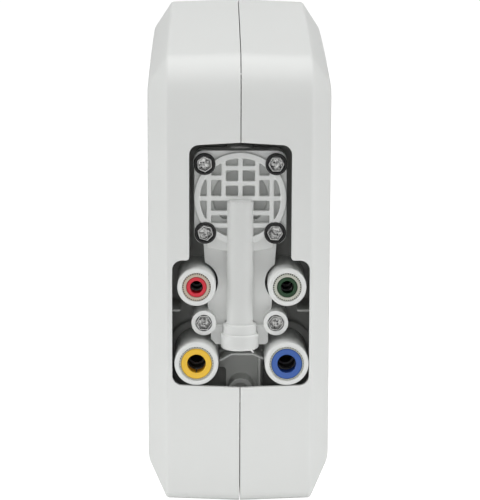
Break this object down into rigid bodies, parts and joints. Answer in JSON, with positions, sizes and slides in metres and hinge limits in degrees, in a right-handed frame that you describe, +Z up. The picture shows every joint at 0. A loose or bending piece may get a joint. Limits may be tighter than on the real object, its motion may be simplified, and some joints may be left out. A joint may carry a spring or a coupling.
{
  "type": "reverse osmosis unit",
  "caption": "Slim white two-half reverse osmosis case with colour-coded push-fit tube ports, a grid-capped shut-off valve and twist-and-pull cartridges.",
  "frame": {"origin": "centre of the bounding box at the level of the foot pads", "axes": "+Z up, -Y out of the port end, +X across the slim width"},
  "size_m": [0.0974, 0.3, 0.2625],
  "materials": {
    "case_white": "fine satin moulded plastic",
    "valve_white": "satin moulded plastic",
    "inner_white": "satin moulded plastic",
    "frame_dark": "matte moulded plastic",
    "guide_grey": "matte moulded plastic",
    "grip_grey": "fine grained plastic",
    "pad_grey": "soft matte pad",
    "black_rubber": "satin rubber",
    "steel": "bright stainless steel",
    "valve_natural": "natural plastic",
    "ring_beige": "satin plastic, notched rim",
    "ring_grey": "satin plastic, notched rim",
    "collet_red": "smooth moulded plastic",
    "collet_green": "smooth moulded plastic",
    "collet_yellow": "smooth moulded plastic",
    "collet_blue": "smooth moulded plastic",
    "carbon": "porous carbon block",
    "membrane_wrap": "wound membrane sheet under tape"
  },
  "bodies": {
    "case": {"left_shell": "case_white", "right_shell": "case_white", "left_cradle": "case_white", "right_cradle": "case_white", "shell_screws": "steel", "foot_pads": "pad_grey", "chassis": "frame_dark", "tube_guide": "guide_grey", "manifold": "inner_white", "valve_body": "valve_white", "shutoff_seat": "inner_white", "grid_cap": "valve_white", "cap_rings": "black_rubber", "cap_screws": "steel", "boss_screws": "steel", "permeate_diaphragm": "black_rubber", "feed_diaphragm": "black_rubber", "flow_collar": "valve_white", "flow_end_cap": "valve_white", "flow_oring": "black_rubber", "flow_screen": "steel", "flow_restrictor": "valve_natural", "check_spring": "steel", "drain_port": "valve_white", "feed_port": "valve_white", "tank_port": "valve_white", "faucet_port": "valve_white", "drain_ring": "ring_beige", "feed_ring": "ring_grey", "tank_ring": "ring_grey", "faucet_ring": "ring_grey", "port_orings": "black_rubber", "grab_rings": "steel"},
    "shutoff_piston": {"shutoff_piston": "valve_natural"},
    "check_poppet": {"check_poppet": "valve_natural"},
    "drain_collet": {"drain_collet": "collet_red"},
    "feed_collet": {"feed_collet": "collet_green"},
    "tank_collet": {"tank_collet": "collet_yellow"},
    "faucet_collet": {"faucet_collet": "collet_blue"},
    "prefilter": {"prefilter_shell": "inner_white", "prefilter_block": "carbon", "prefilter_core": "inner_white", "prefilter_orings": "black_rubber"},
    "prefilter_handle": {"prefilter_grip": "grip_grey"},
    "membrane": {"membrane_shell": "inner_white", "membrane_roll": "membrane_wrap", "permeate_tube": "inner_white", "brine_seal": "black_rubber", "membrane_orings": "black_rubber"},
    "membrane_handle": {"membrane_grip": "grip_grey"},
    "postfilter": {"postfilter_shell": "inner_white", "postfilter_block": "carbon", "postfilter_screens": "inner_white", "postfilter_orings": "black_rubber"},
    "postfilter_handle": {"postfilter_grip": "grip_grey"}
  },
  "joints": [
    {"name": "prefilter_pull", "type": "slide", "parent": "case", "child": "prefilter", "axis": [0, 1, 0], "range_m": [0, 0.235]},
    {"name": "prefilter_twist", "type": "hinge", "parent": "prefilter", "child": "prefilter_handle", "pos_m": [0, 0.145, 0.042], "axis": [0, 1, 0], "range_deg": [0, 90]},
    {"name": "membrane_pull", "type": "slide", "parent": "case", "child": "membrane", "axis": [0, 1, 0], "range_m": [0, 0.235]},
    {"name": "membrane_twist", "type": "hinge", "parent": "membrane", "child": "membrane_handle", "pos_m": [0, 0.145, 0.1095], "axis": [0, 1, 0], "range_deg": [0, 90]},
    {"name": "postfilter_pull", "type": "slide", "parent": "case", "child": "postfilter", "axis": [0, 1, 0], "range_m": [0, 0.235]},
    {"name": "postfilter_twist", "type": "hinge", "parent": "postfilter", "child": "postfilter_handle", "pos_m": [0, 0.145, 0.177], "axis": [0, 1, 0], "range_deg": [0, 90]},
    {"name": "drain_release", "type": "slide", "parent": "case", "child": "drain_collet", "axis": [0, 1, 0], "range_m": [0, 0.0012]},
    {"name": "feed_release", "type": "slide", "parent": "case", "child": "feed_collet", "axis": [0, 1, 0], "range_m": [0, 0.0012]},
    {"name": "tank_release", "type": "slide", "parent": "case", "child": "tank_collet", "axis": [0, 1, 0], "range_m": [0, 0.0012]},
    {"name": "faucet_release", "type": "slide", "parent": "case", "child": "faucet_collet", "axis": [0, 1, 0], "range_m": [0, 0.0012]},
    {"name": "shutoff_shuttle", "type": "slide", "parent": "case", "child": "shutoff_piston", "axis": [0, 1, 0], "range_m": [0, 0.0012]},
    {"name": "check_lift", "type": "slide", "parent": "case", "child": "check_poppet", "axis": [0, 0, 1], "range_m": [0, 0.0025], "stiffness_N_per_m": 80, "springref_m": -0.003, "deforming": ["check_spring"]}
  ]
}
